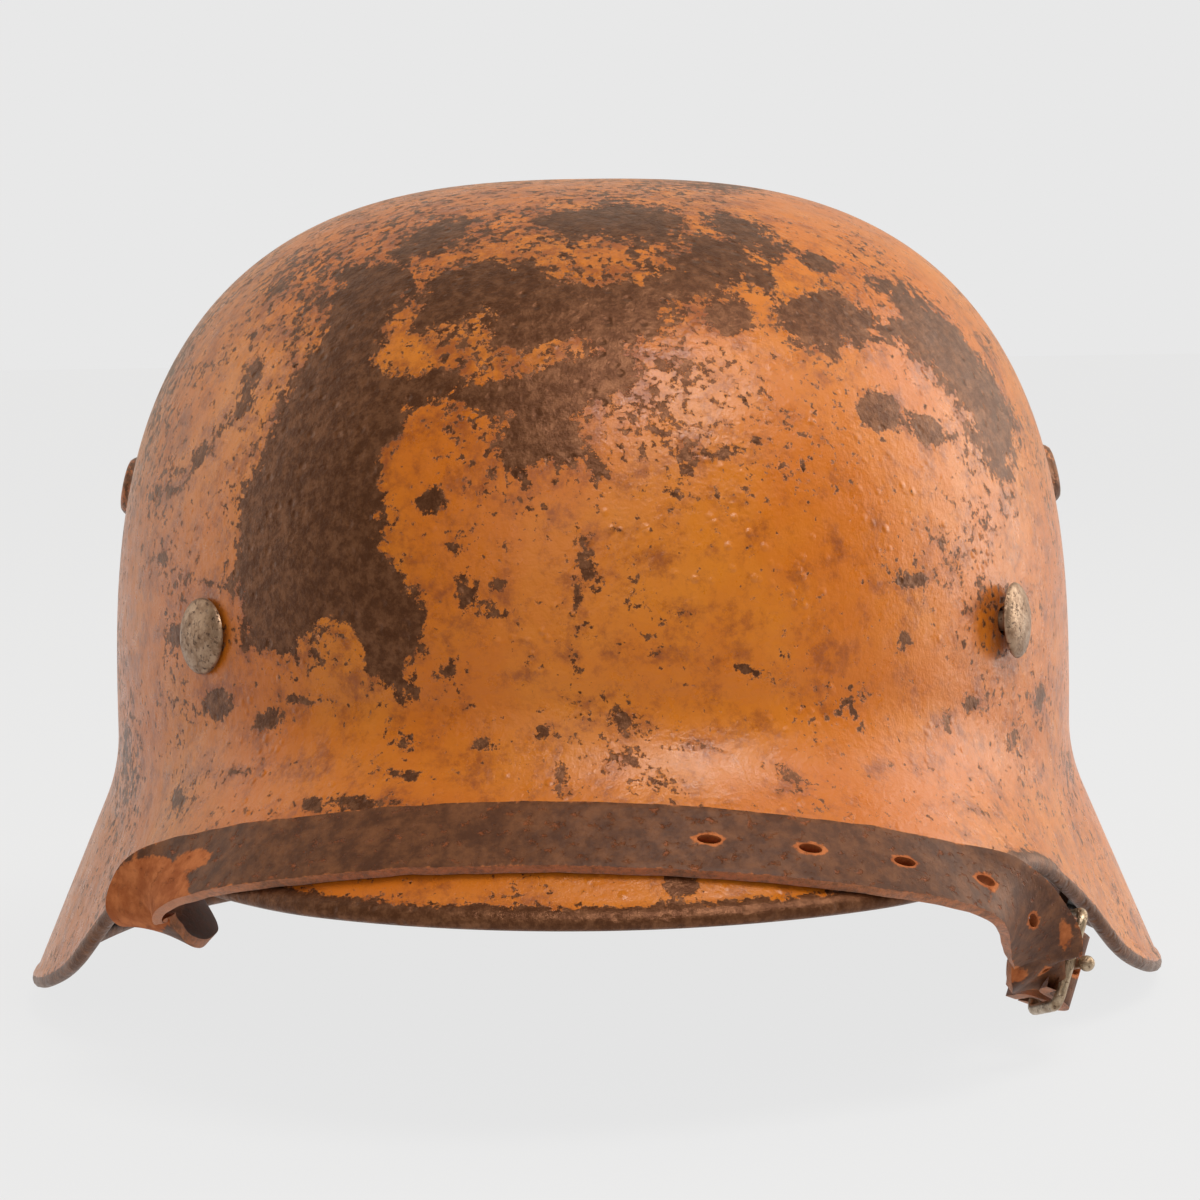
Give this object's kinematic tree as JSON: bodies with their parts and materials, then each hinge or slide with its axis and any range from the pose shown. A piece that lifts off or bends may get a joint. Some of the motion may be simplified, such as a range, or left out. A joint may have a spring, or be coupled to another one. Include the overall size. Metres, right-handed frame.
{
  "type": "combat helmet",
  "caption": "Pressed steel combat helmet with visor, flared neck guard, rolled rim, side vents, split rivets, an inner band and a buckled leather chin strap stowed over the visor",
  "frame": {"origin": "centre of the footprint, on the plane that the lowest stretch of the rim stands on", "axes": "visor faces -Y, neck guard +Y, crown +Z, the buckle's side is +X"},
  "size_m": [0.2384, 0.2862, 0.1672],
  "materials": {
    "shell_paint": "ochre paint worn through to dark brown steel, semi-matt",
    "dark_steel": "dark brown oxidised sheet steel, matt",
    "bright_steel": "dull plated steel, pitted and tarnished",
    "strap_leather": "old dark brown leather with red-brown suede at its cut edges and bends"
  },
  "bodies": {
    "root": {"shell": "shell_paint", "liner_band": "dark_steel", "rivet_left": "bright_steel", "rivet_right": "bright_steel", "rivet_rear": "bright_steel", "strap_ring_left": "bright_steel", "strap_ring_right": "bright_steel", "chin_strap_long": "strap_leather", "chin_strap_short": "strap_leather", "buckle_frame": "bright_steel", "buckle_prong": "bright_steel"}
  },
  "joints": []
}
